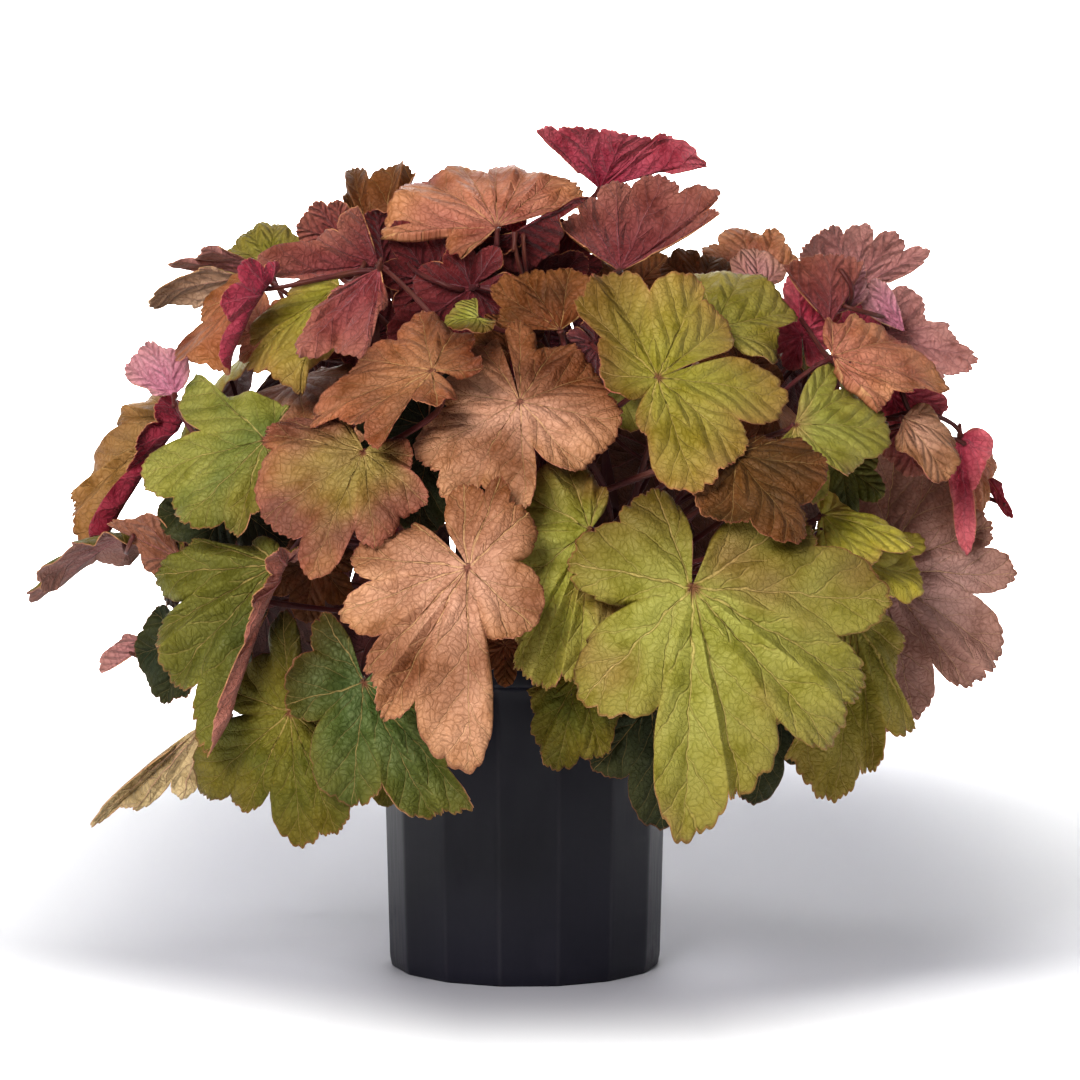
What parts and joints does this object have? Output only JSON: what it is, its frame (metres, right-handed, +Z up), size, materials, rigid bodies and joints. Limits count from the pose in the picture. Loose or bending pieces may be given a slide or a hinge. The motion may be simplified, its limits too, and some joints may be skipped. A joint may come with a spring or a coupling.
{
  "type": "potted heuchera plant",
  "caption": "Heuchera plant with a dome of lobed lime, amber and magenta leaves on thin reddish stalks, growing in a faceted black nursery pot filled with soil.",
  "frame": {"origin": "centre of the underside of the pot", "axes": "+Z up along the axis of the pot, -Y towards the side the plant is seen from, +X to the right of that view"},
  "size_m": [0.5408, 0.4286, 0.4614],
  "materials": {
    "pot": "black, injection-moulded, slight sheen",
    "soil": "dark crumbly peat mix",
    "stalk": "reddish brown, satin, finely hairy",
    "leaf_lime": "soft satin leaf, lime with amber lobes",
    "leaf_green": "soft satin leaf, green to olive, silvery mottle",
    "leaf_amber": "soft satin leaf, amber to orange",
    "leaf_brown": "soft satin leaf, brown to tan",
    "leaf_magenta": "leaf turned to show its magenta to mauve underside"
  },
  "bodies": {
    "root": {"crown": "stalk", "leaf_amber_farl": "leaf_amber", "leaf_amber_low": "leaf_amber", "leaf_amber_mid": "leaf_amber", "leaf_amber_r": "leaf_amber", "leaf_amber_up": "leaf_amber", "leaf_back_1": "leaf_green", "leaf_back_2": "leaf_green", "leaf_back_3": "leaf_green", "leaf_back_4": "leaf_green", "leaf_back_5": "leaf_green", "leaf_back_6": "leaf_green", "leaf_back_7": "leaf_green", "leaf_brown_mid": "leaf_brown", "leaf_brown_r": "leaf_brown", "leaf_dark_l": "leaf_green", "leaf_dark_low_r": "leaf_green", "leaf_dark_r": "leaf_magenta", "leaf_dark_r2": "leaf_green", "leaf_far_right": "leaf_magenta", "leaf_green_left": "leaf_green", "leaf_green_low": "leaf_green", "leaf_green_r": "leaf_green", "leaf_green_upl": "leaf_green", "leaf_lime_back": "leaf_lime", "leaf_lime_big": "leaf_lime", "leaf_lime_fold": "leaf_lime", "leaf_lime_mid": "leaf_lime", "leaf_lime_r2": "leaf_lime", "leaf_lime_right": "leaf_lime", "leaf_lime_top": "leaf_lime", "leaf_lime_upl": "leaf_lime", "leaf_mag_crown": "leaf_magenta", "leaf_mag_left": "leaf_magenta", "leaf_mag_low": "leaf_magenta", "leaf_mag_mid": "leaf_magenta", "leaf_mag_top": "leaf_magenta", "leaf_mag_tr": "leaf_magenta", "leaf_mag_under": "leaf_magenta", "leaf_mauve_big": "leaf_magenta", "leaf_mauve_topl": "leaf_magenta", "leaf_mauve_tr": "leaf_magenta", "leaf_olive_amber": "leaf_amber", "leaf_olive_in": "leaf_brown", "leaf_olive_l": "leaf_green", "leaf_olive_low": "leaf_green", "leaf_olive_low_m": "leaf_green", "leaf_olive_mid": "leaf_green", "leaf_orange_left": "leaf_amber", "leaf_orange_right": "leaf_amber", "leaf_orange_top": "leaf_amber", "leaf_orange_up": "leaf_brown", "leaf_pink_bl": "leaf_magenta", "leaf_pink_l": "leaf_magenta", "leaf_pink_left": "leaf_magenta", "leaf_pink_mid": "leaf_magenta", "leaf_tan_curl": "leaf_brown", "leaf_top_right": "leaf_brown", "pot": "pot", "soil": "soil"}
  },
  "joints": []
}
